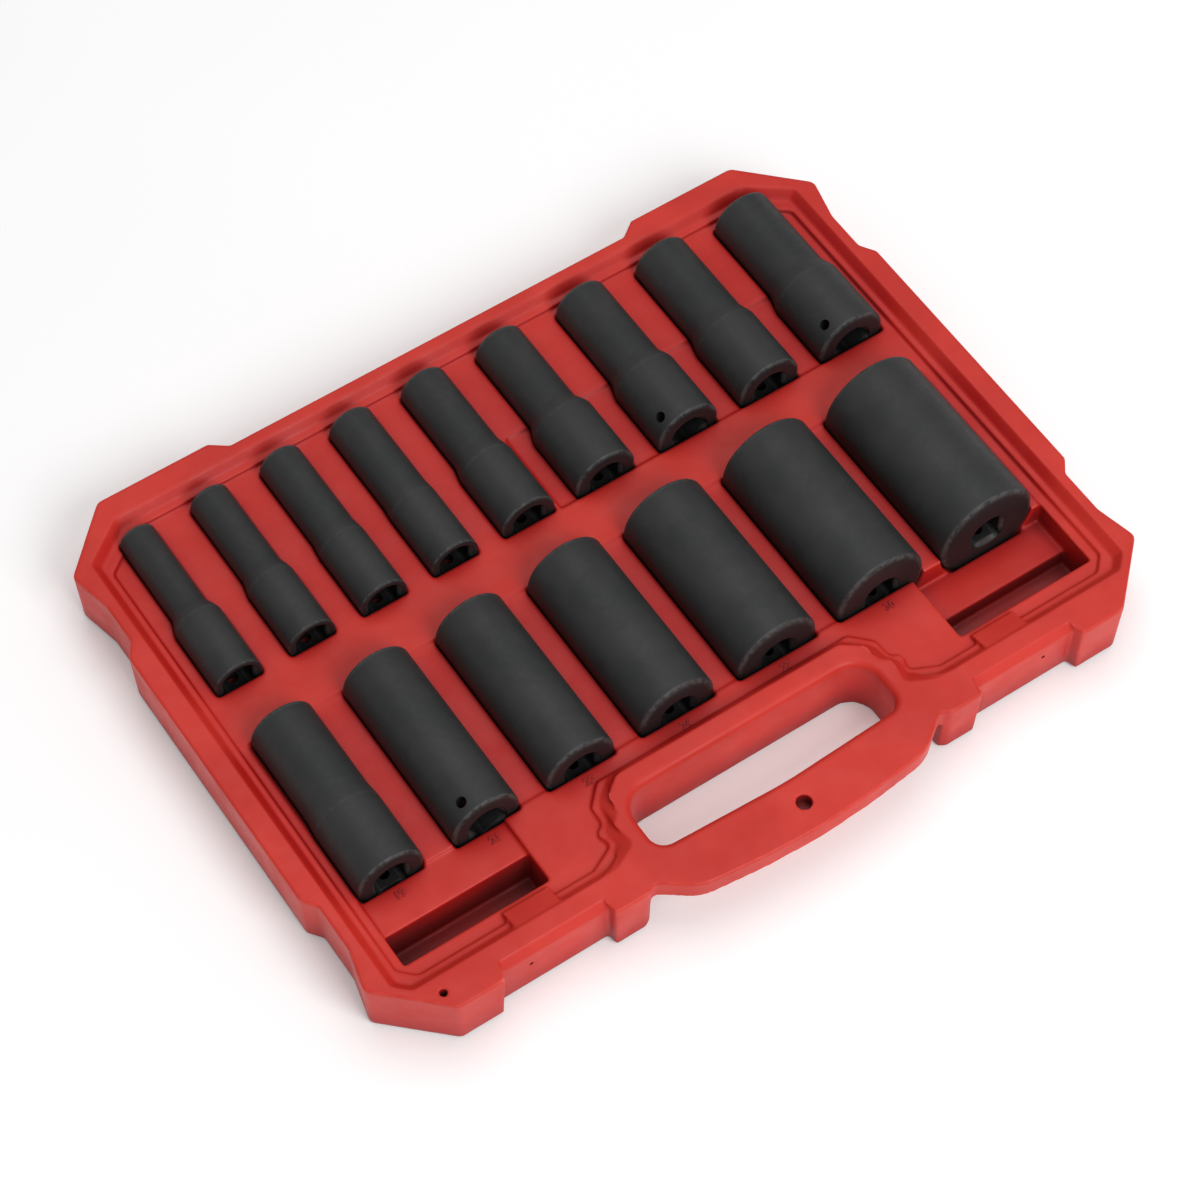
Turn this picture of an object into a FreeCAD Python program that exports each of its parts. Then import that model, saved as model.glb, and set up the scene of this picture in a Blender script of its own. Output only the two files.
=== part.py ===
"""Deep impact socket set in a blow-moulded carry case.

Frame: +Z up, +Y towards the hinge side, -Y towards the carry handle, millimetres.
The origin is under the middle of the case, on the surface that it rests on.
Each socket lies along Y in its own seat, drive end towards the handle.
"""
import FreeCAD, Part
import Sketcher
import os

Vector = FreeCAD.Vector
Rotation = FreeCAD.Rotation

# Driving dimensions of the case, in millimetres and degrees.
CASE_SIZES = {
    "case_height": 28.0,
    "wall_draft": 2.0,
    "bottom_round": 2.0,
    "corner_round": 4.0,
    "scallop_round": 3.0,
    "grip_round": 20.0,
    "bow_round": 150.0,
    "rim_round": 0.8,
    # plan of the outer wall
    "half_width": 174.3,
    "waist_half_width": 170.0,
    "back_face": 136.0,
    "hinge_face": 130.7,
    "hinge_half": 92.8,
    "hinge_ramp": 7.1,
    "corner_half": 149.3,
    "back_corner_side": 110.9,
    "back_waist_far": 92.0,
    "back_waist_near": 74.0,
    "pad_back": 67.5,
    "pad_front": -56.2,
    "front_waist_far": -62.0,
    "front_waist_near": -82.0,
    "front_corner_side": -99.8,
    "front_face": -123.9,
    "latch_face": -119.4,
    "latch_outer": 130.0,
    "latch_slant": 1.5,
    "latch_slope": 3.0,
    "latch_slope_drop": 4.0,
    "latch_inner": 83.2,
    # carry handle
    "knuckle_inner": 68.0,
    "scallop_half": 64.8,
    "scallop_face": -121.3,
    "grip_shoulder": 58.0,
    "grip_shoulder_face": -126.2,
    "grip_half": 51.0,
    "grip_side_face": -131.9,
    "grip_bow_half": 24.0,
    "grip_bow_face": -134.9,
    "grip_face": -136.0,
    "handle_thickness": 10.0,
    "handle_gap_half": 55.0,
    "handle_gap_back": -85.0,
    "handle_gap_front": -110.3,
    "handle_gap_bow": -112.6,
    "gap_back_round": 11.0,
    "gap_front_round": 6.5,
    "gap_rim_round": 3.0,
    "peg_recess": 6.2,
    "peg_recess_place": -124.2,
    "peg_recess_depth": 5.0,
    "handle_root_half": 66.0,
    "handle_root": -107.8,
    "cut_margin": 20.0,
    # sunk tray
    "rim_step": 4.0,
    "tray_wall_slope": 40.0,
    "tray_half": 165.5,
    "tray_back": 125.6,
    "tray_chamfer_half": 147.5,
    "tray_chamfer_side": 112.0,
    "tray_front": -109.2,
    "tray_front_corner": 6.0,
    "tray_round": 3.0,
    "bridge_half": 72.5,
    "bridge_mid_half": 61.0,
    "bridge_mid": -103.6,
    "bridge_neck_half": 63.6,
    "bridge_neck": -93.5,
    "bridge_cusp_half": 59.2,
    "bridge_cusp": -90.5,
    "bridge_side_half": 58.6,
    "bridge_side": -82.5,
    "bridge_back_half": 51.0,
    "bridge_back": -76.4,
    "panel_border": 6.0,
    "panel_step": 1.8,
    # storage pockets and ledges in front of the sockets
    "storage_outer": 155.6,
    "storage_inner": 93.4,
    "storage_back": -82.4,
    "storage_front": -96.6,
    "storage_floor": 3.0,
    "ledge_drop_left": 4.0,
    "ledge_drop_right": 13.0,
    "ledge_back": -65.0,
    "web_drop": 0.8,
    "web_back": 13.9,
    "half_web_drop": 1.4,
    "half_web_back": 76.4,
    "half_web_front": 36.8,
    "half_web_left": 0.0,
    "half_web_right": 130.0,
    # ramps up to the rim behind the latches
    "ramp_inner": 96.0,
    "ramp_outer": 115.6,
    "ramp_back": -99.0,
    "ramp_front": -110.5,
    # small round holes
    "needle_hole": 3.0,
    "needle_hole_x": -151.0,
    "needle_hole_y": -115.8,
    "needle_hole_depth": 8.0,
    "dimple": 1.6,
    "dimple_x": 116.0,
    "dimple_depth": 1.5,
    "dimple_height": 17.0,
}

# Driving dimensions that every socket shares.
SOCKET_SIZES = {
    "socket_length": 78.0,
    "back_row_end": 37.6,
    "front_row_end": -65.3,
    "nose_length": 40.5,
    "step_length": 7.0,
    "edge_bevel": 0.9,
    "drive_bevel": 3.4,
    "drive_bevel_share": 0.46,
    "drive_bevel_slope": 0.6,
    "drive_square": 12.8,
    "drive_depth": 20.0,
    "drive_mouth": 17.2,
    "drive_mouth_depth": 1.8,
    "hex_clearance": 0.3,
    "hex_depth": 20.0,
    "hex_mouth_depth": 1.0,
    "hex_mouth_flare": 0.3,
    "relief_ratio": 0.98,
    "relief_overlap": 0.5,
    "pin_hole": 4.4,
    "pin_hole_place": 6.5,
    "seat_clearance": 0.4,
    "seat_end_clearance": 0.5,
}

# One line per socket: hexagon size, nose diameter, drive-end diameter, place across the
# case, turn about its own axis (0 puts the pin hole on top), row.
SOCKETS = [
    (10, 15.4, 20.2, -143.8, 180, "back"),
    (11, 17.0, 20.2, -111.8, 180, "back"),
    (12, 18.6, 20.4, -79.8, 180, "back"),
    (13, 19.6, 20.8, -47.6, 180, "back"),
    (14, 20.8, 24.0, -13.9, 180, "back"),
    (15, 22.0, 27.6, 21.9, 180, "back"),
    (16, 23.6, 28.2, 61.1, -43, "back"),
    (17, 24.8, 28.4, 100.2, 180, "back"),
    (18, 26.4, 30.4, 140.3, -40, "back"),
    (19, 26.6, 28.0, -141.0, 180, "front"),
    (21, 29.0, 29.0, -99.9, -28, "front"),
    (22, 30.2, 30.2, -58.3, 180, "front"),
    (24, 33.8, 33.8, -15.1, 180, "front"),
    (27, 36.4, 36.4, 30.7, 180, "front"),
    (30, 40.4, 40.4, 79.1, 180, "front"),
    (32, 43.6, 43.6, 129.9, 180, "front"),
]

TRAY = "(Sizes.case_height - Sizes.rim_step)"
RIM = "Sizes.case_height"

# How much of an inset the tray's edge takes beside and behind the bridge.
BRIDGE_SIDE_SHARE = 0.3
BRIDGE_BACK_SHARE = 0.57

TOLERANCE = 0.01


def sheet_value(name):
    """The expression that reads one cell of the sheet."""
    return f"Sizes.{name}"


def make_sheet(doc):
    sheet = doc.addObject("Spreadsheet::Sheet", "Sizes")
    sizes = dict(CASE_SIZES)
    sizes.update(SOCKET_SIZES)
    for hexagon, nose, drive, lane, turn, _row in SOCKETS:
        sizes[f"hex_{hexagon}"] = hexagon
        sizes[f"nose_{hexagon}"] = nose
        sizes[f"drive_{hexagon}"] = drive
        sizes[f"lane_{hexagon}"] = lane
        sizes[f"turn_{hexagon}"] = turn
    for line, (name, value) in enumerate(sizes.items(), start=1):
        sheet.set(f"A{line}", name)
        sheet.set(f"B{line}", str(value))
        sheet.setAlias(f"B{line}", name)
    doc.recompute()
    return sheet


def bind(item, **expressions):
    """Bind properties to expressions; a double underscore stands for a dot."""
    for name, expression in expressions.items():
        item.setExpression(name.replace("__", "."), expression)
    return item


# ---------------------------------------------------------------- sketched case features

def mirrored(corners):
    """A right half-outline from back to front, closed by its mirror image in X."""
    left = [(f"-({x})", y) for x, y in reversed(corners) if x != "0"]
    return corners + left


def sketch_outline(body, name, height, corners):
    """A closed outline parallel to XY whose corners are bound to the sheet."""
    sketch = body.newObject("Sketcher::SketchObject", name)
    plane = next(item for item in body.Origin.OriginFeatures if item.Role == "XY_Plane")
    sketch.AttachmentSupport = [(plane, "")]
    sketch.MapMode = "FlatFace"
    sketch.setExpression("AttachmentOffset.Base.z", height)
    points = [[float(body.evalExpression(value)) for value in corner] for corner in corners]
    count = len(points)
    for index in range(count):
        start = Vector(*points[index], 0)
        end = Vector(*points[(index + 1) % count], 0)
        sketch.addGeometry(Part.LineSegment(start, end))
    for index in range(count):
        sketch.addConstraint(Sketcher.Constraint("Coincident", index, 2, (index + 1) % count, 1))
        for axis in (0, 1):
            kind = ("DistanceX", "DistanceY")[axis]
            place = Sketcher.Constraint(kind, -1, 1, index, 1, points[index][axis])
            number = sketch.addConstraint(place)
            sketch.renameConstraint(number, f"corner{index}_{'xy'[axis]}")
            sketch.setExpression(f"Constraints.corner{index}_{'xy'[axis]}", corners[index][axis])
    return sketch


def both_sides(corners, outline):
    """The numbers of some corners on the right and of their mirror images on the left."""
    return corners + [len(outline) - 1 - corner for corner in corners]


def round_corners(sketch, corners, radius):
    """Round some corners of an outline to a radius bound to the sheet."""
    start_radius = 3.0
    for corner in corners:
        sketch.fillet(corner, 1, start_radius, True, True)
        arc = next(index for index in reversed(range(sketch.GeometryCount))
                   if sketch.Geometry[index].TypeId == "Part::GeomArcOfCircle")
        number = sketch.addConstraint(Sketcher.Constraint("Radius", arc, start_radius))
        sketch.renameConstraint(number, f"round{corner}")
        sketch.setExpression(f"Constraints.round{corner}", radius)
    return sketch


def sketch_circle(body, name, height, centre, diameter):
    sketch = body.newObject("Sketcher::SketchObject", name)
    plane = next(item for item in body.Origin.OriginFeatures if item.Role == "XY_Plane")
    sketch.AttachmentSupport = [(plane, "")]
    sketch.MapMode = "FlatFace"
    bind(sketch, AttachmentOffset__Base__x=centre[0], AttachmentOffset__Base__y=centre[1],
         AttachmentOffset__Base__z=height)
    sketch.addGeometry(Part.Circle(Vector(0, 0, 0), Vector(0, 0, 1), 1.0))
    sketch.addConstraint(Sketcher.Constraint("Coincident", 0, 3, -1, 1))
    sketch.addConstraint(Sketcher.Constraint("Diameter", 0, 2.0))
    sketch.renameConstraint(1, "diameter")
    sketch.setExpression("Constraints.diameter", diameter)
    return sketch


def cut_pocket(body, name, sketch, depth, taper="0"):
    """A pocket down from the sketch. A depth of None cuts through all."""
    pocket = body.newObject("PartDesign::Pocket", name)
    pocket.Profile = sketch
    if depth is None:
        pocket.Type = "ThroughAll"
    else:
        pocket.Type = "Length"
        pocket.setExpression("Length", depth)
        pocket.setExpression("TaperAngle", taper)
    return pocket


def rectangle(left, right, back, front):
    return [(left, back), (right, back), (right, front), (left, front)]


def case_outline():
    """The outer wall at the rim: right half from the hinge side round to the handle."""
    value = sheet_value
    return mirrored([
        (value("hinge_half"), value("hinge_face")),
        ("Sizes.hinge_half + Sizes.hinge_ramp", value("back_face")),
        (value("corner_half"), value("back_face")),
        (value("half_width"), value("back_corner_side")),
        (value("waist_half_width"), value("back_waist_far")),
        (value("waist_half_width"), value("back_waist_near")),
        (value("half_width"), value("pad_back")),
        (value("half_width"), value("pad_front")),
        (value("waist_half_width"), value("front_waist_far")),
        (value("waist_half_width"), value("front_waist_near")),
        (value("half_width"), value("front_corner_side")),
        (value("corner_half"), value("front_face")),
        (value("latch_outer"), value("front_face")),
        ("Sizes.latch_outer - Sizes.latch_slant", value("latch_face")),
        (value("latch_inner"), value("latch_face")),
        ("Sizes.latch_inner - Sizes.latch_slant / 2", value("front_face")),
        (value("knuckle_inner"), value("front_face")),
        (value("scallop_half"), value("scallop_face")),
        (value("grip_shoulder"), value("grip_shoulder_face")),
        (value("grip_half"), value("grip_side_face")),
        (value("grip_bow_half"), value("grip_bow_face")),
        ("0", value("grip_face")),
    ])


def tray_outline(inset="0"):
    """The sunk tray's edge, drawn in by an inset; it passes behind the handle gap."""
    def out(name):
        return f"Sizes.{name} - ({inset})"

    def beside(name):
        return f"Sizes.{name} + ({inset})"

    def partly(name, share):
        return f"Sizes.{name} + {share} * ({inset})"

    return mirrored([
        (out("tray_chamfer_half"), out("tray_back")),
        (out("tray_half"), out("tray_chamfer_side")),
        (out("tray_half"), f"Sizes.tray_front + Sizes.tray_front_corner + ({inset})"),
        (f"Sizes.tray_half - Sizes.tray_front_corner - ({inset})", beside("tray_front")),
        (beside("bridge_half"), beside("tray_front")),
        (beside("bridge_mid_half"), beside("bridge_mid")),
        (beside("bridge_neck_half"), partly("bridge_neck", BRIDGE_SIDE_SHARE)),
        (beside("bridge_cusp_half"), partly("bridge_cusp", BRIDGE_SIDE_SHARE)),
        (beside("bridge_side_half"), partly("bridge_side", BRIDGE_SIDE_SHARE)),
        (beside("bridge_back_half"), partly("bridge_back", BRIDGE_BACK_SHARE)),
    ])


def tray_sketch(body, name, height, inset="0"):
    outline = tray_outline(inset)
    sketch = sketch_outline(body, name, height, outline)
    return round_corners(sketch, both_sides(list(range(10)), outline), sheet_value("tray_round"))


def round_edges(body, name, base, radius, wanted):
    """Round the edges of the last feature that the test picks."""
    body.Document.recompute()
    picked = [f"Edge{number}" for number, edge in enumerate(base.Shape.Edges, start=1) if wanted(edge)]
    fillet = body.newObject("PartDesign::Fillet", name)
    fillet.Base = (base, picked)
    fillet.setExpression("Radius", radius)
    return fillet


def lies_at(edge, height):
    box = edge.BoundBox
    return abs(box.ZMin - height) < TOLERANCE and abs(box.ZMax - height) < TOLERANCE


def make_case_block(doc):
    """The moulding without its socket seats."""
    body = doc.addObject("PartDesign::Body", "CaseBlock")
    height = CASE_SIZES["case_height"]

    shell = body.newObject("PartDesign::Pad", "OuterShell")
    outline = case_outline()
    sketch = sketch_outline(body, "OuterOutline", RIM, outline)
    round_corners(sketch, both_sides([2, 3, 10, 11, 16], outline), sheet_value("corner_round"))
    round_corners(sketch, both_sides([17], outline), sheet_value("scallop_round"))
    round_corners(sketch, both_sides([19], outline), sheet_value("grip_round"))
    round_corners(sketch, both_sides([20], outline), sheet_value("bow_round"))
    shell.Profile = sketch
    shell.Reversed = True
    bind(shell, Length=RIM, TaperAngle="-Sizes.wall_draft")
    base = round_edges(body, "BottomEdge", shell, sheet_value("bottom_round"),
                       lambda edge: lies_at(edge, 0.0))
    round_edges(body, "RimEdge", base, sheet_value("rim_round"), lambda edge: lies_at(edge, height))

    under = rectangle("-Sizes.handle_root_half", "Sizes.handle_root_half",
                      sheet_value("handle_root"), "Sizes.grip_face - Sizes.cut_margin")
    under_sketch = sketch_outline(body, "UnderHandleOutline",
                                  "Sizes.case_height - Sizes.handle_thickness", under)
    cut_pocket(body, "UnderHandle", under_sketch, None)

    sunk = tray_sketch(body, "TrayOutline", RIM)
    cut_pocket(body, "SunkTray", sunk, sheet_value("rim_step"), "-Sizes.tray_wall_slope")
    panel = tray_sketch(body, "PanelOutline", TRAY, "Sizes.panel_border")
    cut_pocket(body, "TrayPanel", panel, sheet_value("panel_step"))

    webs = rectangle("-Sizes.storage_outer", "Sizes.storage_outer", "Sizes.web_back",
                     "Sizes.ledge_back")
    cut_pocket(body, "FrontWebs", sketch_outline(body, "FrontWebOutline", TRAY, webs),
               "Sizes.web_drop + Sizes.panel_step")
    half_webs = rectangle("Sizes.half_web_left", "Sizes.half_web_right", "Sizes.half_web_back",
                          "Sizes.half_web_front")
    cut_pocket(body, "HalfWebs", sketch_outline(body, "HalfWebOutline", TRAY, half_webs),
               "Sizes.half_web_drop + Sizes.panel_step")

    left_ledge = rectangle("-Sizes.storage_outer", "-Sizes.storage_inner", "Sizes.ledge_back",
                           "Sizes.storage_front")
    cut_pocket(body, "LeftLedge", sketch_outline(body, "LeftLedgeOutline", TRAY, left_ledge),
               sheet_value("ledge_drop_left"))
    right_ledge = rectangle("Sizes.storage_inner", "Sizes.storage_outer", "Sizes.ledge_back",
                            "Sizes.storage_front")
    cut_pocket(body, "RightLedge", sketch_outline(body, "RightLedgeOutline", TRAY, right_ledge),
               sheet_value("ledge_drop_right"))
    for side, sign in (("Left", "-"), ("Right", "")):
        edges = [f"{sign}Sizes.storage_outer", f"{sign}Sizes.storage_inner"]
        box = rectangle(edges[0], edges[1], "Sizes.storage_back", "Sizes.storage_front")
        outline = sketch_outline(body, f"{side}StorageOutline", TRAY, box)
        cut_pocket(body, f"{side}Storage", outline, f"{TRAY} - Sizes.storage_floor")

    make_handle_gap(body)
    peg = sketch_circle(body, "PegRecessOutline", RIM, ("0", sheet_value("peg_recess_place")),
                        sheet_value("peg_recess"))
    cut_pocket(body, "PegRecess", peg, sheet_value("peg_recess_depth"))
    needle = sketch_circle(body, "NeedleHoleOutline", RIM,
                           (sheet_value("needle_hole_x"), sheet_value("needle_hole_y")),
                           sheet_value("needle_hole"))
    cut_pocket(body, "NeedleHole", needle, sheet_value("needle_hole_depth"))
    return body


def make_handle_gap(body):
    """The finger gap: a bowed slot through the full depth, with a softened top edge."""
    outline = mirrored([
        (sheet_value("handle_gap_half"), sheet_value("handle_gap_back")),
        (sheet_value("handle_gap_half"), sheet_value("handle_gap_front")),
        ("0", sheet_value("handle_gap_bow")),
    ])
    sketch = sketch_outline(body, "HandleGapOutline", RIM, outline)
    round_corners(sketch, both_sides([0], outline), sheet_value("gap_back_round"))
    round_corners(sketch, both_sides([1], outline), sheet_value("gap_front_round"))
    round_corners(sketch, [2], sheet_value("bow_round"))
    slot = cut_pocket(body, "HandleGap", sketch, None)
    height = CASE_SIZES["case_height"]
    half = CASE_SIZES["handle_gap_half"] + TOLERANCE
    back = CASE_SIZES["handle_gap_back"] + TOLERANCE
    front = CASE_SIZES["handle_gap_bow"] - TOLERANCE

    def gap_rim(edge):
        box = edge.BoundBox
        return (lies_at(edge, height) and -half < box.XMin and box.XMax < half
                and front < box.YMin and box.YMax < back)

    round_edges(body, "HandleGapRim", slot, sheet_value("gap_rim_round"), gap_rim)


# ---------------------------------------------------------------- sockets and their seats

def solid(doc, kind, name, turn=None, **expressions):
    """A Part primitive with its sizes bound to the sheet, turned about its own corner."""
    item = doc.addObject(f"Part::{kind}", name)
    if turn is not None:
        item.Placement = FreeCAD.Placement(Vector(0, 0, 0), turn)
    return bind(item, **expressions)


def stack(doc, name, sections):
    """Coaxial round sections along +Z, given as (low radius, high radius, length)."""
    start = "0"
    pieces = []
    for number, (low, high, length) in enumerate(sections):
        label = f"{name}Section{number}"
        if low == high:
            piece = solid(doc, "Cylinder", label, Radius=low, Height=length)
        else:
            piece = solid(doc, "Cone", label, Radius1=low, Radius2=high, Height=length)
        bind(piece, Placement__Base__z=start)
        start = f"{start} + {length}"
        pieces.append(piece)
    return join(doc, name, pieces)


def join(doc, name, pieces):
    """The union of the pieces; a lone piece is its own union."""
    if len(pieces) == 1:
        return pieces[0]
    union = doc.addObject("Part::MultiFuse", name)
    union.Shapes = pieces
    return union


def cut(doc, name, base, tool):
    difference = doc.addObject("Part::Cut", name)
    difference.Base = base
    difference.Tool = tool
    return difference


def socket_sections(size, plain):
    """Outer sections of a socket from its drive end to its hexagon end."""
    nose = f"(Sizes.nose_{size} / 2)"
    drive = f"(Sizes.drive_{size} / 2)"
    bevel = "Sizes.edge_bevel"
    wall = f"({drive} - Sizes.drive_mouth / 2)"
    drive_bevel = f"min(Sizes.drive_bevel; Sizes.drive_bevel_share * {wall})"
    bevel_length = f"(Sizes.drive_bevel_slope * {drive_bevel})"
    drive_length = f"(Sizes.socket_length - Sizes.nose_length - Sizes.step_length - {bevel_length})"
    nose_length = f"(Sizes.nose_length - {bevel})"
    if plain:
        middle = [(drive, drive, f"(Sizes.socket_length - {bevel} - {bevel_length})")]
    else:
        middle = [(drive, drive, drive_length), (drive, nose, "Sizes.step_length"),
                  (nose, nose, nose_length)]
    first = (f"({drive} - {drive_bevel})", drive, bevel_length)
    last = (nose, f"({nose} - {bevel})", bevel)
    return [first] + middle + [last]


def socket_hollow(doc, size):
    """Drive square, pin hole, relief bore and hexagon, as one cutting tool."""
    across_flats = f"(Sizes.hex_{size} + Sizes.hex_clearance)"
    square = solid(doc, "Box", f"Square{size}", Length="Sizes.drive_square",
                   Width="Sizes.drive_square", Height="Sizes.drive_depth")
    bind(square, Placement__Base__x="-Sizes.drive_square / 2",
         Placement__Base__y="-Sizes.drive_square / 2")
    mouth = solid(doc, "Cone", f"DriveMouth{size}", Radius1="Sizes.drive_mouth / 2",
                  Radius2="Sizes.drive_square / 2", Height="Sizes.drive_mouth_depth")
    relief = solid(doc, "Cylinder", f"Relief{size}",
                   Radius=f"{across_flats} * Sizes.relief_ratio / 2",
                   Height="Sizes.socket_length - Sizes.drive_depth - 2 * Sizes.relief_overlap")
    bind(relief, Placement__Base__z="Sizes.drive_depth - Sizes.relief_overlap")
    hexagon = solid(doc, "Prism", f"Hexagon{size}", Circumradius=f"{across_flats} / sqrt(3)",
                    Height="Sizes.hex_depth")
    hexagon.Polygon = 6
    bind(hexagon, Placement__Base__z="Sizes.socket_length - Sizes.hex_depth")
    hex_mouth = solid(doc, "Cone", f"HexMouth{size}", Radius1=f"{across_flats} / 2",
                      Radius2=f"{across_flats} / sqrt(3) + Sizes.hex_mouth_flare",
                      Height="Sizes.hex_mouth_depth")
    bind(hex_mouth, Placement__Base__z="Sizes.socket_length - Sizes.hex_mouth_depth")
    pin = solid(doc, "Cylinder", f"PinHole{size}", Rotation(Vector(1, 0, 0), 90),
                Radius="Sizes.pin_hole / 2", Height=f"Sizes.drive_{size}")
    bind(pin, Placement__Base__z="Sizes.pin_hole_place")
    hollow = join(doc, f"Hollow{size}", [square, mouth, relief, hexagon, hex_mouth, pin])
    hollow.Placement = FreeCAD.Placement(Vector(0, 0, 0), Rotation(Vector(0, 0, 1), 1))
    return bind(hollow, Placement__Rotation__Angle=f"Sizes.turn_{size}")


def lay_down(item, size, row):
    """Lay a part built along +Z into its lane, pointing to +Y."""
    item.Placement = FreeCAD.Placement(Vector(0, 0, 0), Rotation(Vector(1, 0, 0), -90))
    return bind(item, Placement__Base__x=f"Sizes.lane_{size}",
                Placement__Base__y=f"Sizes.{row}_row_end", Placement__Base__z=TRAY)


def make_socket(doc, size, nose, drive, row):
    outer = stack(doc, f"Outer{size}", socket_sections(size, nose == drive))
    socket = cut(doc, f"Socket{size}", outer, socket_hollow(doc, size))
    socket.Label = f"socket_{size}mm"
    return lay_down(socket, size, row)


def seat_block(doc, name, size, width, row, start, length):
    """The straight-sided part of a seat, from the socket's axis up past the rim."""
    block = solid(doc, "Box", name, Length=width, Width=length, Height="Sizes.case_height")
    return bind(block, Placement__Base__x=f"Sizes.lane_{size} - ({width}) / 2",
                Placement__Base__y=f"Sizes.{row}_row_end + {start}", Placement__Base__z=TRAY)


def make_seat(doc, size, nose, drive, row):
    """The room that one socket needs: its round lower half and a straight way up."""
    gap = "Sizes.seat_clearance"
    end_gap = "Sizes.seat_end_clearance"
    nose_width = f"Sizes.nose_{size} + 2 * {gap}"
    drive_width = f"Sizes.drive_{size} + 2 * {gap}"
    low = f"(Sizes.drive_{size} / 2 + {gap})"
    high = f"(Sizes.nose_{size} / 2 + {gap})"
    if nose == drive:
        sections = [(low, low, f"(Sizes.socket_length + 2 * {end_gap})")]
        blocks = [seat_block(doc, f"SeatWay{size}", size, drive_width, row, f"(-{end_gap})",
                             f"Sizes.socket_length + 2 * {end_gap}")]
    else:
        drive_length = f"(Sizes.socket_length - Sizes.nose_length - Sizes.step_length + {end_gap})"
        nose_length = f"(Sizes.nose_length + {end_gap})"
        sections = [(low, low, drive_length), (low, high, "Sizes.step_length"),
                    (high, high, nose_length)]
        step_start = "Sizes.socket_length - Sizes.nose_length - Sizes.step_length"
        step = solid(doc, "Wedge", f"SeatStep{size}", Xmin=f"-({drive_width}) / 2",
                     Xmax=f"({drive_width}) / 2", X2min=f"-({nose_width}) / 2",
                     X2max=f"({nose_width}) / 2", Ymin="0", Ymax="Sizes.step_length", Zmin="0",
                     Z2min="0", Zmax="Sizes.case_height", Z2max="Sizes.case_height")
        bind(step, Placement__Base__x=f"Sizes.lane_{size}",
             Placement__Base__y=f"Sizes.{row}_row_end + {step_start}", Placement__Base__z=TRAY)
        blocks = [
            seat_block(doc, f"SeatDriveWay{size}", size, drive_width, row, f"(-{end_gap})",
                       drive_length),
            step,
            seat_block(doc, f"SeatNoseWay{size}", size, nose_width, row,
                       "Sizes.socket_length - Sizes.nose_length", nose_length),
        ]
    trough = lay_down(stack(doc, f"SeatTrough{size}", sections), size, row)
    bind(trough, Placement__Base__y=f"Sizes.{row}_row_end - {end_gap}")
    return join(doc, f"Seat{size}", [trough] + blocks)


# ---------------------------------------------------------------- the whole set

def make_latch_dimple(doc, side):
    """A small witness mark in a latch recess."""
    dimple = solid(doc, "Cylinder", f"Dimple{'L' if side < 0 else 'R'}",
                   Rotation(Vector(1, 0, 0), -90), Radius="Sizes.dimple / 2",
                   Height="2 * Sizes.dimple_depth")
    return bind(dimple, Placement__Base__x=f"{side} * Sizes.dimple_x",
                Placement__Base__y="Sizes.latch_face - Sizes.dimple_depth / 2",
                Placement__Base__z="Sizes.dimple_height")


def make_latch_slope(doc, side):
    """The room over the slanted top edge of a latch recess."""
    inner = "Sizes.latch_inner"
    outer = "(Sizes.latch_outer - Sizes.latch_slant)"
    half = f"({outer} - {inner}) / 2"
    slope = solid(doc, "Wedge", f"LatchSlope{'L' if side < 0 else 'R'}", Xmin=f"-{half}", Xmax=half,
                  X2min=f"-{half}", X2max=half, Ymin="0", Ymax="2 * Sizes.latch_slope",
                  Zmin="-Sizes.latch_slope_drop", Z2min="Sizes.latch_slope_drop",
                  Zmax="2 * Sizes.latch_slope_drop", Z2max="2 * Sizes.latch_slope_drop")
    return bind(slope, Placement__Base__x=f"{side} * ({outer} + {inner}) / 2",
                Placement__Base__y="Sizes.latch_face - Sizes.latch_slope",
                Placement__Base__z="Sizes.case_height - Sizes.latch_slope_drop")


def make_ramp(doc, side):
    """A gentle ramp that takes the place of the tray's front wall behind a latch."""
    name = f"Ramp{'L' if side < 0 else 'R'}"
    half = "(Sizes.ramp_outer - Sizes.ramp_inner) / 2"
    ramp = solid(doc, "Wedge", name, Xmin=f"-{half}", Xmax=half, X2min=f"-{half}", X2max=half,
                 Ymin="0", Ymax="Sizes.ramp_back - Sizes.ramp_front", Zmin="0", Z2min="0",
                 Zmax="2 * Sizes.rim_step", Z2max="Sizes.rim_step")
    return bind(ramp, Placement__Base__x=f"{side} * (Sizes.ramp_outer + Sizes.ramp_inner) / 2",
                Placement__Base__y="Sizes.ramp_front",
                Placement__Base__z="Sizes.case_height - 2 * Sizes.rim_step")


def make_case(doc):
    ramps = [make_ramp(doc, side) for side in (-1, 1)]
    block = join(doc, "BlockWithRamps", [make_case_block(doc)] + ramps)
    tools = [make_seat(doc, size, nose, drive, row)
             for size, nose, drive, _lane, _turn, row in SOCKETS]
    tools += [make(doc, side) for make in (make_latch_dimple, make_latch_slope) for side in (-1, 1)]
    case = cut(doc, "Case", block, join(doc, "Seats", tools))
    case.Label = "case_base"
    return case


def check(doc, parts):
    """Stop before anything is written if a feature failed or a solid is bad."""
    failed = [item.Name for item in doc.Objects
              if "Invalid" in item.State or "Error" in item.State]
    for part in parts:
        shape = part.Shape
        if shape.isNull() or not shape.isValid() or len(shape.Solids) != 1:
            failed.append(part.Label)
    if failed:
        raise RuntimeError(f"failed features or solids: {failed}")


def main():
    doc = FreeCAD.newDocument("SocketSet")
    make_sheet(doc)
    parts = [make_case(doc)]
    for size, nose, drive, _lane, _turn, row in SOCKETS:
        parts.append(make_socket(doc, size, nose, drive, row))
    doc.recompute()
    check(doc, parts)
    os.makedirs("parts", exist_ok=True)
    for part in parts:
        part.Shape.exportStep(f"parts/{part.Label}.step")
        box = part.Shape.BoundBox
        print(f"{part.Label}: {part.Shape.Volume / 1000:.1f} cm3, "
              f"{box.XLength:.1f} x {box.YLength:.1f} x {box.ZLength:.1f} mm")


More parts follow.
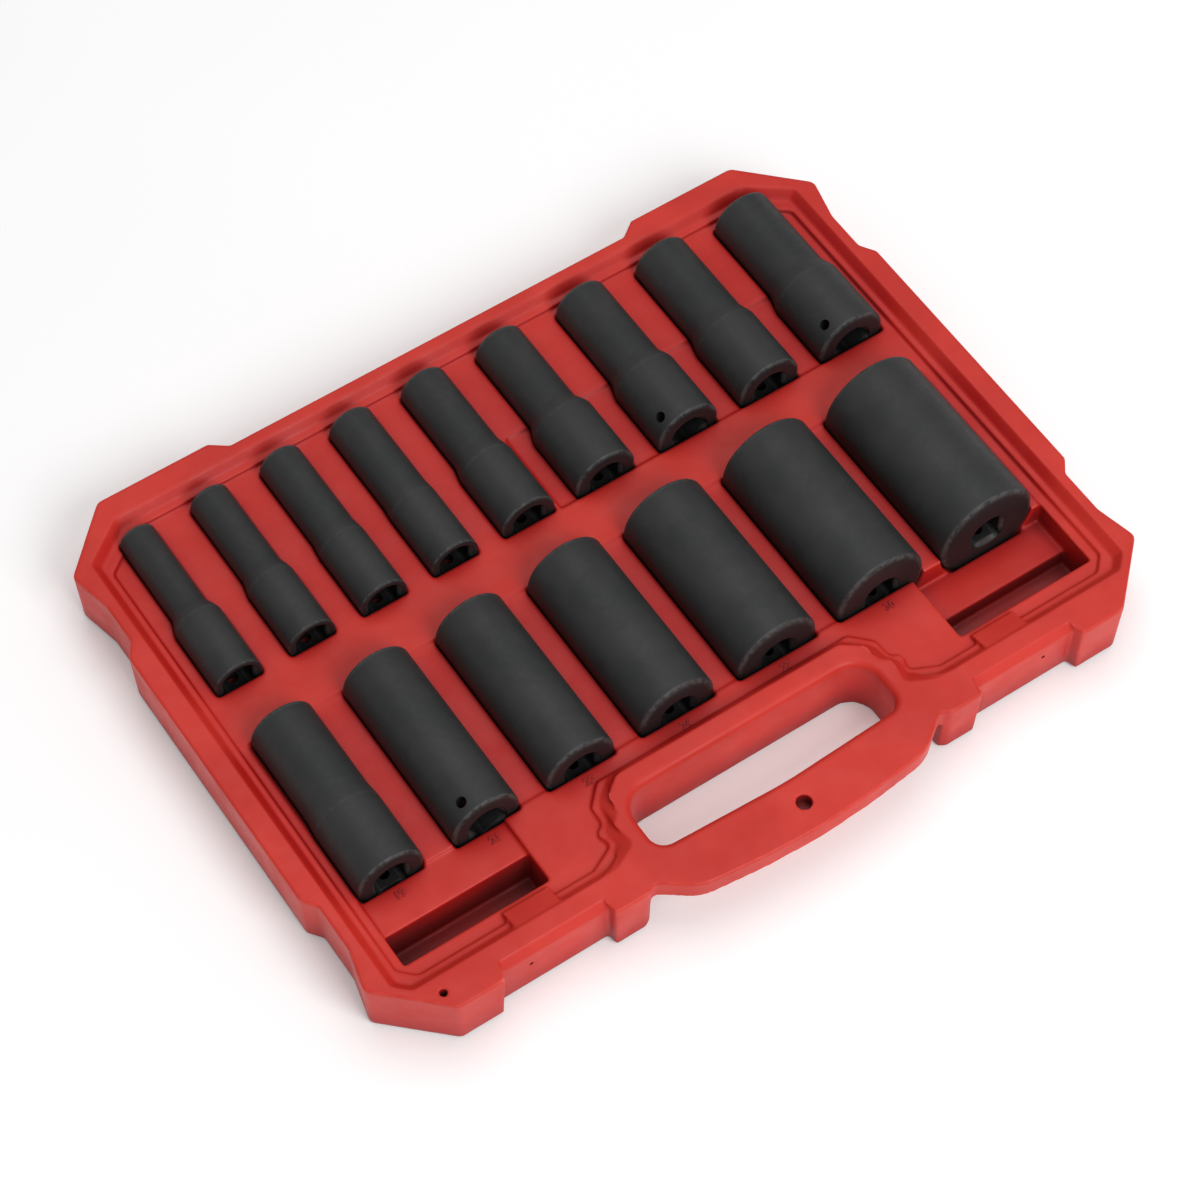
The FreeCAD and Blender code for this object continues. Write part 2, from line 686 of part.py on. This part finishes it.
main()
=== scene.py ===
"""Looks of the socket set: a soft-edged red moulding that holds matt black impact sockets.

Metres, +Z up and +Y towards the hinge side, as in the CAD frame.
"""
import math

import bmesh
import bpy
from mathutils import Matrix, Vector


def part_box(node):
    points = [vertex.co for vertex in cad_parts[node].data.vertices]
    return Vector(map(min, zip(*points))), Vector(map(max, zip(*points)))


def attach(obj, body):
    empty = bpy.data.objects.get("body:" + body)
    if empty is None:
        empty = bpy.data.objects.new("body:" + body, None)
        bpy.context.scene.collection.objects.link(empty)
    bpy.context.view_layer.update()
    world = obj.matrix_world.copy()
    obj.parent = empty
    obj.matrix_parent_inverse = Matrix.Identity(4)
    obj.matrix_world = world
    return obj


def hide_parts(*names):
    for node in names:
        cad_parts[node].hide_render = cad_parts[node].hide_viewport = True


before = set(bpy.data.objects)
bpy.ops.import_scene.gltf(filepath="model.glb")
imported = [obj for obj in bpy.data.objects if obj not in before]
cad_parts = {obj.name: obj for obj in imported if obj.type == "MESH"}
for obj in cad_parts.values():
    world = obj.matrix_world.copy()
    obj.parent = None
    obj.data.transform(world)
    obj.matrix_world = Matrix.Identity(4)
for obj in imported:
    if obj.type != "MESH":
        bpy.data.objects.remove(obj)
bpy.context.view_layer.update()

MM = 0.001

# ---------------------------------------------------------------- sizes

# softening of the case, in metres: a moulding's skin rounds every edge
MERGE_DISTANCE = 1e-6
VOXEL = 0.62 * MM
SMOOTH_FACTOR = 0.5
SMOOTH_STEPS = 5
CASE_TRIANGLES = 185_000
CASE_SHARP = math.radians(50)

# round marks cut into the case from above: place, bottom and radius in millimetres
NEEDLE_PIT = (-151.0, -115.8), 20.0, 1.5
PEG_RECESS = (0.0, -124.2), 22.9, 3.05
MARKS_TOP = 30.0

# the pit in each latch recess, in millimetres: it is cut from its front end backwards
LATCH_PIT_SIDE = 116.0
LATCH_PIT_FRONT = -125
LATCH_PIT_HEIGHT = 17
LATCH_PIT_LENGTH = 7.5
LATCH_PIT_RADIUS = 0.9

# raised size numbers, in millimetres; the gap runs from a socket's end to its number's middle
DIGIT_SIZE = 4.6
DIGIT_RAISE = 0.35
DIGIT_BEVEL = 0.08
DIGIT_GAP = 5.2
ABOVE_ALL = 0.06  # metres, higher than any part of the set
UNNUMBERED = 32  # the one socket of the front row that has no number

# shape that every socket shares, in millimetres along its axis from the drive end
NOSE_START = 37.5
STEP_START = 30.5
DRIVE_DEPTH = 20.0
DRIVE_SQUARE = 12.8
DRIVE_MOUTH = 17.2
DRIVE_MOUTH_DEPTH = 1.8
HEX_DEPTH = 20.0
HEX_CLEARANCE = 0.3
HEX_FLARE = 0.3
HEX_CHAMFER = 1.0
RELIEF_RATIO = 0.98  # the relief bore over the hexagon's width across flats
PIN_HOLE = 4.4
PIN_PLACE = 6.5
PIN_MARGIN = 2  # how far the pin hole's cutter stands out of the socket
END_REACH = 5 * MM  # how far from an end the CAD socket's radius is read

# rounded edges: the largest rounding, and its largest share of the wall's thickness
NOSE_ROUND = 1.8
NOSE_WALL_SHARE = 0.6
DRIVE_ROUND = 3.4
DRIVE_WALL_SHARE = 0.46
DRIVE_ROUND_SHARE = 0.62  # the drive end's rounding along the axis over that across it
SHOULDER_ANGLE = math.radians(62)

# the step down to the nose is partly a cone and partly an S-curve
STEP_CONE = 0.55
STEP_CURVE = 0.45

# steps of each curve, and of the way round
SHOULDER_PARTS = 8
STEP_PARTS = 8
NOSE_PARTS = 6
AROUND = 96
SOCKET_SHARP = math.radians(32)

# where each pin hole points, in degrees from straight up, by the socket's size
TURNS = {16: -43, 18: -40, 21: -28}
PIN_DOWN = 180

# ---------------------------------------------------------------- colours, wear and painted shade

# darker reds of the raised numbers: painted shade of their relief
RELIEF_DARK, RELIEF_LIGHT = (0.30, 0.008, 0.007), (0.44, 0.014, 0.011)
RED_DARK, RED_LIGHT = (0.540, 0.022, 0.013), (0.620, 0.032, 0.020)
RED_SPECKLE = (0.64, 0.060, 0.042)
# painted shade in creases, where the surface curves inward
RED_CREASE_SHADE = (0.38, 0.007, 0.007)
# paler pink on convex edges: partly wear, partly painted highlight
RED_WORN_AND_HIGHLIGHT = (0.78, 0.15, 0.11)
# painted shade in hollows and recesses: a middle tone, then the deepest
RED_PAINTED_SHADE = (0.42, 0.005, 0.006)
RED_DEEP_PAINTED_SHADE = (0.14, 0.013, 0.012)
STEEL_DARK, STEEL_LIGHT = (0.019, 0.020, 0.021), (0.027, 0.027, 0.027)
STEEL_BROWN = (0.033, 0.028, 0.025)
# painted shade on the drive end face
STEEL_END_SHADE = (0.007, 0.007, 0.008)
STEEL_BARE = (0.115, 0.112, 0.108)
# painted shade inside the bores and where the sockets sit in their seats
BORE_PAINTED_SHADE = (0.003, 0.003, 0.003)
FLOOR_DARK, FLOOR_LIGHT = (0.92, 0.92, 0.92), (0.94, 0.94, 0.94)
WHITE = (1.0, 1.0, 1.0, 1.0)

# how far the shade in hollows reaches, and the rays that find it
CASE_SHADE = 22 * MM
STEEL_SHADE = 18 * MM
SHADE_SAMPLES = 8

# worn bands along a socket: middle and half-width in millimetres, and how bare the steel is
WORN_ENDS = (0.9, 0.75, 0.6), (77.2, 1.2, 0.4)
WORN_STEP = STEP_START, 1.0, 0.16
WORN_CORE = 0.25  # the share of a band that is fully worn
# painted shade: the drive end face is darkened over this span
END_SHADE_SPAN = 0.05 * MM, 1.3 * MM  # where the dark drive end begins to fade, and where it ends

# sockets of a Mix node for colours, whose names its other kinds share
MIX_FIRST, MIX_SECOND, MIX_RESULT = 6, 7, 2

# ---------------------------------------------------------------- stage, in metres and watts

FLOOR_SIZE = 6.0
FLOOR_DROP = 0.0003
FLOOR_GLOW = 0.14
LIGHTS = (
    ("key", (0.15, -1.4, 1.3), 1.0, 19),
    ("top", (0.3, 0.4, 1.7), 1.4, 9),
)
WORLD_STRENGTH = 0.42

# the camera that was fitted to the photo, with millimetres for its lens and degrees for angles
LENS = 103.88
SENSOR = 36.0
CAMERA_PLACE = (-0.4087, -0.5986, 1.1333)
CAMERA_DOWN = 57.31
CAMERA_TURN = -33.9


# ---------------------------------------------------------------- objects and meshes

def add_object(name, mesh):
    item = bpy.data.objects.new(name, mesh)
    bpy.context.scene.collection.objects.link(item)
    return item


def settle(item):
    """Turn an object's modifiers into its mesh."""
    depsgraph = bpy.context.evaluated_depsgraph_get()
    mesh = bpy.data.meshes.new_from_object(item.evaluated_get(depsgraph))
    item.modifiers.clear()
    item.data = mesh


def cylinder_between(work, start, end, radius, segments=32):
    """Add a closed cylinder from one point to another to a bmesh."""
    along = end - start
    turn = along.to_track_quat("Z", "Y").to_matrix().to_4x4()
    turn.translation = (start + end) / 2
    bmesh.ops.create_cone(work, cap_ends=True, segments=segments, radius1=radius, radius2=radius,
                          depth=along.length, matrix=turn)


def cut_with(item, fill):
    """Cut away what the fill function adds to an empty bmesh."""
    work = bmesh.new()
    fill(work)
    mesh = bpy.data.meshes.new("cutter")
    work.to_mesh(mesh)
    work.free()
    cutter = add_object("cutter", mesh)
    boolean = item.modifiers.new("cut", "BOOLEAN")
    boolean.operation = "DIFFERENCE"
    boolean.solver = "MANIFOLD"
    boolean.object = cutter
    settle(item)
    bpy.data.objects.remove(cutter)


# ---------------------------------------------------------------- materials

def new_material(name):
    material = bpy.data.materials.new(name)
    material.use_nodes = True
    return material, material.node_tree.nodes["Principled BSDF"]


def link(material, source, target):
    material.node_tree.links.new(source, target)


def add_node(material, kind, **values):
    """A node with its sockets or properties set by name."""
    node = material.node_tree.nodes.new(kind)
    for name, value in values.items():
        socket = node.inputs.get(name.replace("_", " "))
        if socket is not None:
            socket.default_value = value
        else:
            setattr(node, name, value)
    return node


def noise(material, place, scale, detail=4.0, roughness=0.55):
    node = add_node(material, "ShaderNodeTexNoise", Scale=scale, Detail=detail, Roughness=roughness)
    link(material, place, node.inputs["Vector"])
    return node.outputs["Fac"]


def ramp(material, value, low, high, to_low=0.0, to_high=1.0):
    """Map a value between two limits to another pair, clamped and smooth."""
    node = add_node(material, "ShaderNodeMapRange")
    node.interpolation_type = "SMOOTHSTEP"
    link(material, value, node.inputs["Value"])
    limits = {"From Min": low, "From Max": high, "To Min": to_low, "To Max": to_high}
    for name, number in limits.items():
        node.inputs[name].default_value = number
    return node.outputs["Result"]


def blend_colour(material, amount, first, second):
    """Mix two colours, each given as a socket or as red, green and blue."""
    node = add_node(material, "ShaderNodeMix", data_type="RGBA")
    link(material, amount, node.inputs["Factor"])
    for place, colour in ((MIX_FIRST, first), (MIX_SECOND, second)):
        socket = node.inputs[place]
        if isinstance(colour, bpy.types.NodeSocket):
            link(material, colour, socket)
        else:
            socket.default_value = (*colour, 1.0)
    return node.outputs[MIX_RESULT]


def calculate(material, operation, first, second):
    node = add_node(material, "ShaderNodeMath", operation=operation)
    for socket, value in zip(node.inputs, (first, second)):
        if isinstance(value, bpy.types.NodeSocket):
            link(material, value, socket)
        else:
            socket.default_value = value
    return node.outputs["Value"]


def hollow_shade(material, distance):
    """1 where a surface is open to its surroundings, and less where it lies in a hollow."""
    node = add_node(material, "ShaderNodeAmbientOcclusion", Distance=distance,
                    samples=SHADE_SAMPLES)
    return node.outputs["AO"]


def add_bump(material, shader, layers):
    """Stack bumps given as (height, distance in metres, strength)."""
    normal = None
    for height, distance, strength in layers:
        node = add_node(material, "ShaderNodeBump", Distance=distance, Strength=strength)
        link(material, height, node.inputs["Height"])
        if normal is not None:
            link(material, normal, node.inputs["Normal"])
        normal = node.outputs["Normal"]
    link(material, normal, shader.inputs["Normal"])


def relief_plastic():
    """The raised size numbers in a darker red: painted shade of their relief, with tone varying at
    random.
    """
    material, shader = new_material("relief_plastic")
    place = add_node(material, "ShaderNodeTexCoord").outputs["Object"]
    tone = ramp(material, noise(material, place, 600.0, 3.0), 0.35, 0.65)
    link(material, blend_colour(material, tone, RELIEF_DARK, RELIEF_LIGHT),
         shader.inputs["Base Color"])
    shader.inputs["Roughness"].default_value = 0.65
    return material


def case_plastic():
    """Red polyethylene: faint mottling, fine mould grain, paler on convex edges (partly wear,
    partly painted highlight), with painted shade in creases and hollows.
    """
    material, shader = new_material("case_plastic")
    place = add_node(material, "ShaderNodeTexCoord").outputs["Object"]
    cloud = ramp(material, noise(material, place, 28.0, 3.0), 0.35, 0.68)
    body = blend_colour(material, cloud, RED_DARK, RED_LIGHT)
    speckle = ramp(material, noise(material, place, 900.0, 3.0), 0.62, 0.78, 0.0, 0.30)
    body = blend_colour(material, speckle, body, RED_SPECKLE)
    point = add_node(material, "ShaderNodeNewGeometry").outputs["Pointiness"]
    # painted shade: darker red in creases, found from the surface's inward curvature
    hollow = ramp(material, point, 0.40, 0.49, 0.6, 0.0)
    body = blend_colour(material, hollow, body, RED_CREASE_SHADE)
    # paler convex edges in patches: partly wear, partly painted highlight
    patchy = ramp(material, noise(material, place, 160.0, 5.0, 0.7), 0.38, 0.66)
    edge = calculate(material, "MULTIPLY", ramp(material, point, 0.515, 0.565, 0.0, 0.75), patchy)
    body = blend_colour(material, edge, body, RED_WORN_AND_HIGHLIGHT)
    shade = hollow_shade(material, CASE_SHADE)
    # painted shade: darker red in hollows, darkest deep in the pockets and seats
    painted_shade = ramp(material, shade, 0.50, 0.95, 0.85, 0.0)
    body = blend_colour(material, painted_shade, body, RED_PAINTED_SHADE)
    painted_deep_shade = ramp(material, shade, 0.22, 0.62, 0.90, 0.0)
    body = blend_colour(material, painted_deep_shade, body, RED_DEEP_PAINTED_SHADE)
    link(material, body, shader.inputs["Base Color"])
    gloss = ramp(material, noise(material, place, 70.0, 5.0), 0.3, 0.7, 0.40, 0.54)
    link(material, gloss, shader.inputs["Roughness"])
    shader.inputs["Specular IOR Level"].default_value = 0.34
    add_bump(material, shader, [
        (noise(material, place, 45.0, 2.0), 0.0006, 0.5),
        (noise(material, place, 1500.0, 2.0), 0.00006, 0.55),
    ])
    return material


def black_steel(name, worn_places):
    """Phosphated steel: charcoal with brown patches, brighter at the given worn places, with
    painted shade on the drive end face and in hollows.
    """
    material, shader = new_material(name)
    place = add_node(material, "ShaderNodeTexCoord").outputs["Object"]
    split = add_node(material, "ShaderNodeSeparateXYZ")
    link(material, place, split.inputs["Vector"])
    along = split.outputs["Y"]
    cloud = ramp(material, noise(material, place, 55.0, 5.0, 0.6), 0.36, 0.66)
    body = blend_colour(material, cloud, STEEL_DARK, STEEL_LIGHT)
    brown = ramp(material, noise(material, place, 130.0, 6.0, 0.7), 0.56, 0.74, 0.0, 0.5)
    body = blend_colour(material, brown, body, STEEL_BROWN)
    # painted shade: darker drive end face
    end_shade = ramp(material, along, *END_SHADE_SPAN, 0.75, 0.0)
    body = blend_colour(material, end_shade, body, STEEL_END_SHADE)
    grit = noise(material, place, 420.0, 6.0, 0.7)
    bare = None
    for middle, half, amount in worn_places:
        offset = calculate(material, "SUBTRACT", along, middle * MM)
        distance = calculate(material, "ABSOLUTE", offset, 0.0)
        band = ramp(material, distance, WORN_CORE * half * MM, half * MM, amount, 0.0)
        bare = band if bare is None else calculate(material, "MAXIMUM", bare, band)
    worn = calculate(material, "MULTIPLY", bare, ramp(material, grit, 0.38, 0.60))
    body = blend_colour(material, worn, body, STEEL_BARE)
    # painted shade: near black where the steel lies in a hollow, in the bores and against the seats
    painted_bore_shade = ramp(material, hollow_shade(material, STEEL_SHADE), 0.25, 0.60, 0.93, 0.0)
    body = blend_colour(material, painted_bore_shade, body, BORE_PAINTED_SHADE)
    link(material, body, shader.inputs["Base Color"])
    gloss = ramp(material, grit, 0.3, 0.7, 0.50, 0.62)
    link(material, gloss, shader.inputs["Roughness"])
    metal = calculate(material, "MULTIPLY", worn, 0.6)
    link(material, metal, shader.inputs["Metallic"])
    shader.inputs["Specular IOR Level"].default_value = 0.4
    add_bump(material, shader, [
        (noise(material, place, 240.0, 4.0), 0.00008, 0.35),
        (noise(material, place, 2600.0, 2.0), 0.00003, 0.5),
    ])
    return material


def pale_floor():
    material, shader = new_material("pale_floor")
    place = add_node(material, "ShaderNodeTexCoord").outputs["Object"]
    tone = ramp(material, noise(material, place, 3.0, 2.0), 0.3, 0.7)
    link(material, blend_colour(material, tone, FLOOR_DARK, FLOOR_LIGHT),
         shader.inputs["Base Color"])
    shader.inputs["Roughness"].default_value = 0.8
    shader.inputs["Emission Color"].default_value = WHITE
    shader.inputs["Emission Strength"].default_value = FLOOR_GLOW
    return material


# ---------------------------------------------------------------- case

def soften(item):
    """Round every edge as a moulded skin does: remesh, relax, then thin the mesh."""
    remesh = item.modifiers.new("remesh", "REMESH")
    remesh.mode = "VOXEL"
    remesh.voxel_size = VOXEL
    relax = item.modifiers.new("relax", "SMOOTH")
    relax.factor = SMOOTH_FACTOR
    relax.iterations = SMOOTH_STEPS
    settle(item)
    thin = item.modifiers.new("thin", "DECIMATE")
    triangles = 2 * len(item.data.polygons)  # the remesh leaves four-sided faces
    thin.ratio = CASE_TRIANGLES / triangles
    settle(item)


def mould_marks(work):
    """The blow needle's hole, the recess on the handle and a small pit in each latch recess."""
    for (x, y), bottom, radius in (NEEDLE_PIT, PEG_RECESS):
        low = Vector((x, y, bottom)) * MM
        high = Vector((x, y, MARKS_TOP)) * MM
        cylinder_between(work, low, high, radius * MM)
    for side in (-1, 1):
        start = Vector((side * LATCH_PIT_SIDE * MM, LATCH_PIT_FRONT * MM, LATCH_PIT_HEIGHT * MM))
        end = start + Vector((0, LATCH_PIT_LENGTH * MM, 0))
        cylinder_between(work, start, end, LATCH_PIT_RADIUS * MM)


def make_case(material):
    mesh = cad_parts["case_base"].data.copy()
    work = bmesh.new()
    work.from_mesh(mesh)
    bmesh.ops.remove_doubles(work, verts=work.verts, dist=MERGE_DISTANCE)
    work.to_mesh(mesh)
    work.free()
    case = add_object("case_moulding", mesh)
    soften(case)
    cut_with(case, mould_marks)
    case.data.materials.clear()
    case.data.materials.append(material)
    case.data.shade_smooth()
    case.data.set_sharp_from_angle(angle=CASE_SHARP)
    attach(case, "case")
    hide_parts("case_base")
    return case


def emboss_sizes(case, material, sockets):
    """Raised size numbers on the ledge in front of the front row."""
    for size, low, high in sockets:
        if low.y > 0 or size == UNNUMBERED:
            continue
        curve = bpy.data.curves.new(f"number_{size}", "FONT")
        curve.body = str(size)
        curve.size = DIGIT_SIZE * MM
        curve.extrude = DIGIT_RAISE * MM
        curve.bevel_depth = DIGIT_BEVEL * MM
        curve.align_x = "CENTER"
        curve.align_y = "CENTER"
        text = add_object(f"size_number_{size}", curve)
        place = Vector(((low.x + high.x) / 2, low.y - DIGIT_GAP * MM, ABOVE_ALL))
        _, hit, _, _ = case.ray_cast(place, Vector((0, 0, -1)))
        text.location = (place.x, place.y, hit.z)
        bpy.context.view_layer.update()
        settle_text(text, material)


def settle_text(text, material):
    """Replace a text object by its mesh, which rides on the case."""
    depsgraph = bpy.context.evaluated_depsgraph_get()
    mesh = bpy.data.meshes.new_from_object(text.evaluated_get(depsgraph))
    item = add_object(text.name + "_relief", mesh)
    item.location = text.location
    bpy.data.objects.remove(text)
    item.data.materials.clear()
    item.data.materials.append(material)
    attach(item, "case")


# ---------------------------------------------------------------- sockets

def reach(shape, half, angle):
    """Distance from the axis to a circle, or to a square or hexagon of that half-width."""
    if shape == "round":
        return half
    part, first = {"square": (math.pi / 2, 0.0), "hexagon": (math.pi / 3, math.pi / 6)}[shape]
    off = (angle - first + part / 2) % part - part / 2
    return half / math.cos(off)


def socket_rings(size, nose, drive, length):
    """Rings (along, shape, half-width) down the outside and back through the bore."""
    flats = (size + HEX_CLEARANCE) / 2
    mouth = 2 * flats / math.sqrt(3) + HEX_FLARE
    relief = RELIEF_RATIO * flats
    rounding = min(NOSE_ROUND, NOSE_WALL_SHARE * (nose - mouth))
    shoulder = min(DRIVE_ROUND, DRIVE_WALL_SHARE * (drive - DRIVE_MOUTH / 2))
    rings = []
    for part in range(SHOULDER_PARTS + 1):
        angle = SHOULDER_ANGLE * (1 - part / SHOULDER_PARTS)
        along = DRIVE_ROUND_SHARE * shoulder * (1 - math.sin(angle) / math.sin(SHOULDER_ANGLE))
        fall = shoulder * (1 - math.cos(angle)) / (1 - math.cos(SHOULDER_ANGLE))
        rings.append((along, "round", drive - fall))
    if nose != drive:
        for part in range(STEP_PARTS + 1):
            share = part / STEP_PARTS
            soft = share * share * (3 - 2 * share)
            rings.append((STEP_START + share * (NOSE_START - STEP_START), "round",
                          drive + (nose - drive) * (STEP_CONE * share + STEP_CURVE * soft)))
    for part in range(NOSE_PARTS + 1):
        angle = math.pi / 2 * part / NOSE_PARTS
        rings.append((length - rounding * (1 - math.sin(angle)), "round",
                      nose - rounding * (1 - math.cos(angle))))
    rings += [(length, "round", mouth), (length - HEX_CHAMFER, "hexagon", flats),
              (length - HEX_DEPTH, "hexagon", flats), (length - HEX_DEPTH, "round", relief),
              (DRIVE_DEPTH, "round", relief), (DRIVE_DEPTH, "square", DRIVE_SQUARE / 2),
              (DRIVE_MOUTH_DEPTH, "square", DRIVE_SQUARE / 2), (0.0, "round", DRIVE_MOUTH / 2)]
    return rings


def socket_mesh(name, rings, turn):
    """Join the rings into a closed tube that lies along +Y."""
    work = bmesh.new()
    loops = []
    for along, shape, half in rings:
        loop = []
        for step in range(AROUND):
            angle = 2 * math.pi * step / AROUND
            radius = reach(shape, half, angle)
            x, z = radius * math.cos(angle + turn), -radius * math.sin(angle + turn)
            loop.append(work.verts.new((x * MM, along * MM, z * MM)))
        loops.append(loop)
    for first, second in zip(loops, loops[1:] + loops[:1]):
        for step in range(AROUND):
            after = (step + 1) % AROUND
            work.faces.new((first[step], first[after], second[after], second[step]))
    bmesh.ops.recalc_face_normals(work, faces=work.faces)
    mesh = bpy.data.meshes.new(name)
    work.to_mesh(mesh)
    work.free()
    return mesh


def radius_near(node, low, high, axis_x, axis_z):
    """The widest radius of a CAD socket between two places along Y."""
    found = [math.hypot(v.co.x - axis_x, v.co.z - axis_z) for v in node.data.vertices
             if low <= v.co.y <= high]
    return max(found)


def make_socket(size, low, high, plain_steel, stepped_steel):
    """Turn one socket again, round the axis and at the radii of its CAD node."""
    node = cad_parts[f"socket_{size}mm"]
    axis_x, axis_z = (low.x + high.x) / 2, (low.z + high.z) / 2
    length = (high.y - low.y) / MM
    nose = radius_near(node, high.y - END_REACH, high.y, axis_x, axis_z) / MM
    drive = radius_near(node, low.y, low.y + END_REACH, axis_x, axis_z) / MM
    nose, drive = round(nose, 2), round(drive, 2)
    turn = math.radians(TURNS.get(size, PIN_DOWN))
    name = f"impact_socket_{size}mm"
    rings = socket_rings(size, nose, drive, length)
    socket = add_object(name, socket_mesh(name, rings, turn))

    def pin_hole(work):
        outward = Vector((math.sin(turn), 0, math.cos(turn)))
        middle = Vector((0, PIN_PLACE * MM, 0))
        end = middle + outward * (drive + PIN_MARGIN) * MM
        cylinder_between(work, middle, end, PIN_HOLE / 2 * MM)

    cut_with(socket, pin_hole)
    socket.data.materials.clear()
    socket.data.materials.append(plain_steel if nose == drive else stepped_steel)
    socket.data.shade_smooth()
    socket.data.set_sharp_from_angle(angle=SOCKET_SHARP)
    socket.location = (axis_x, low.y, axis_z)
    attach(socket, f"socket_{size}")
    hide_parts(f"socket_{size}mm")


# ---------------------------------------------------------------- stage

def make_stage():
    bpy.ops.mesh.primitive_plane_add(size=FLOOR_SIZE, location=(0, 0, -FLOOR_DROP))
    floor = bpy.context.object
    floor.name = "floor"
    floor.data.materials.append(pale_floor())


def area_light(name, place, size, power):
    """A square lamp that points at the middle of the underside."""
    light = bpy.data.lights.new(name, "AREA")
    light.size = size
    light.energy = power
    lamp = add_object(name, light)
    lamp.location = place
    lamp.rotation_euler = (-Vector(place)).to_track_quat("-Z", "Y").to_euler()


def make_light():
    for lamp in LIGHTS:
        area_light(*lamp)
    world = bpy.data.worlds.new("studio")
    world.use_nodes = True
    background = world.node_tree.nodes["Background"]
    background.inputs["Color"].default_value = WHITE
    background.inputs["Strength"].default_value = WORLD_STRENGTH
    bpy.context.scene.world = world
    bpy.context.scene.view_settings.view_transform = "Standard"


def make_camera():
    camera = bpy.data.cameras.new("camera")
    camera.lens = LENS
    camera.sensor_width = SENSOR
    holder = add_object("camera", camera)
    holder.location = CAMERA_PLACE
    holder.rotation_euler = (math.radians(90 - CAMERA_DOWN), 0, math.radians(CAMERA_TURN))
    bpy.context.scene.camera = holder


# ---------------------------------------------------------------- the whole set

make_camera()
make_stage()
make_light()
red = case_plastic()
plain = black_steel("black_steel_plain", WORN_ENDS)
stepped = black_steel("black_steel_stepped", (*WORN_ENDS, WORN_STEP))
sizes = sorted(int(name.removeprefix("socket_").removesuffix("mm"))
               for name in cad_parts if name.startswith("socket_"))
sockets = [(size, *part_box(f"socket_{size}mm")) for size in sizes]
case = make_case(red)
emboss_sizes(case, relief_plastic(), sockets)
for size, low, high in sockets:
    make_socket(size, low, high, plain, stepped)
